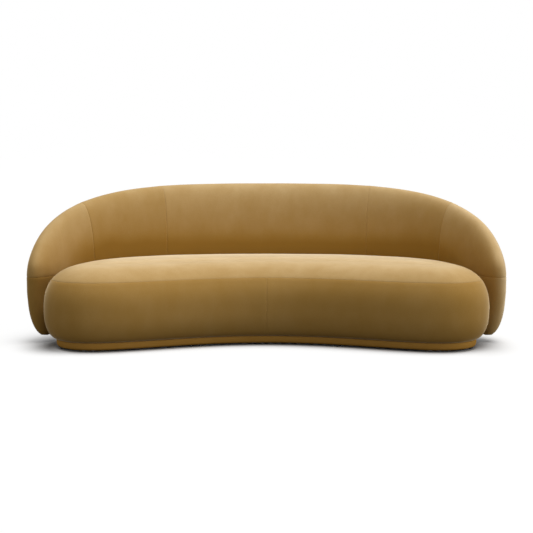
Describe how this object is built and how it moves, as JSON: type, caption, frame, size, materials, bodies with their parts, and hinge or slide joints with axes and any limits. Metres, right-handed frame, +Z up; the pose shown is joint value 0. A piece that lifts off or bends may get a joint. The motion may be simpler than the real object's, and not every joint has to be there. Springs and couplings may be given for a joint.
{
  "type": "sofa",
  "caption": "Curved velvet sofa: a bean-shaped cushioned seat on a recessed plinth, wrapped by a low back that falls away at both ends as rounded wings.",
  "frame": {"origin": "middle of the footprint, on the floor", "axes": "+X along the length to the sitter's left, -Y towards the sitter's front, +Z up"},
  "size_m": [2.4092, 1.1512, 0.7695],
  "materials": {
    "ochre_velvet": "ochre velvet with a soft nap",
    "plinth_velvet": "the same ochre velvet, stretched round the plinth",
    "birch_ply": "raw plywood",
    "foam": "open-cell upholstery foam under a fibre wrap",
    "black_dust_cloth": "black non-woven dust cloth",
    "black_webbing": "elastic webbing",
    "glide_plastic": "black moulded glide",
    "zinc_steel": "zinc-plated steel"
  },
  "bodies": {
    "root": {"back_bolt_left": "zinc_steel", "back_bolt_right": "zinc_steel", "back_bottom_rail": "birch_ply", "back_cover_centre": "ochre_velvet", "back_cover_left": "ochre_velvet", "back_cover_right": "ochre_velvet", "back_dust_cloth": "black_dust_cloth", "back_foam_centre": "foam", "back_foam_left": "foam", "back_foam_right": "foam", "back_glide_corner_left": "glide_plastic", "back_glide_corner_right": "glide_plastic", "back_glide_rear_left": "glide_plastic", "back_glide_rear_right": "glide_plastic", "back_inner_ply": "birch_ply", "back_outer_ply": "birch_ply", "back_rib_centre": "birch_ply", "back_rib_corner_left": "birch_ply", "back_rib_corner_right": "birch_ply", "back_rib_side_left": "birch_ply", "back_rib_side_right": "birch_ply", "back_rib_wing_left": "birch_ply", "back_rib_wing_right": "birch_ply", "joining_bracket_left": "zinc_steel", "joining_bracket_right": "zinc_steel", "nose_cover_left": "ochre_velvet", "nose_cover_right": "ochre_velvet", "plinth_bolt_left": "zinc_steel", "plinth_bolt_right": "zinc_steel", "plinth_cover": "plinth_velvet", "plinth_crossbar_centre": "birch_ply", "plinth_crossbar_left": "birch_ply", "plinth_crossbar_right": "birch_ply", "plinth_rail": "birch_ply", "seat_band_left": "ochre_velvet", "seat_band_right": "ochre_velvet", "seat_base_board": "birch_ply", "seat_core_foam": "foam", "seat_cover_top": "ochre_velvet", "seat_dust_cloth": "black_dust_cloth", "seat_front_rail": "birch_ply", "seat_glide_end_left": "glide_plastic", "seat_glide_end_right": "glide_plastic", "seat_glide_front_left": "glide_plastic", "seat_glide_front_right": "glide_plastic", "seat_glide_rear_left": "glide_plastic", "seat_glide_rear_right": "glide_plastic", "seat_left_end_rail": "birch_ply", "seat_rear_rail": "birch_ply", "seat_rib_1": "birch_ply", "seat_rib_2": "birch_ply", "seat_rib_3": "birch_ply", "seat_rib_4": "birch_ply", "seat_right_end_rail": "birch_ply", "seat_side_foam": "foam", "seat_top_frame": "birch_ply", "seat_topper": "foam", "seat_webbing": "black_webbing", "wing_cover_left": "ochre_velvet", "wing_cover_right": "ochre_velvet"}
  },
  "joints": []
}
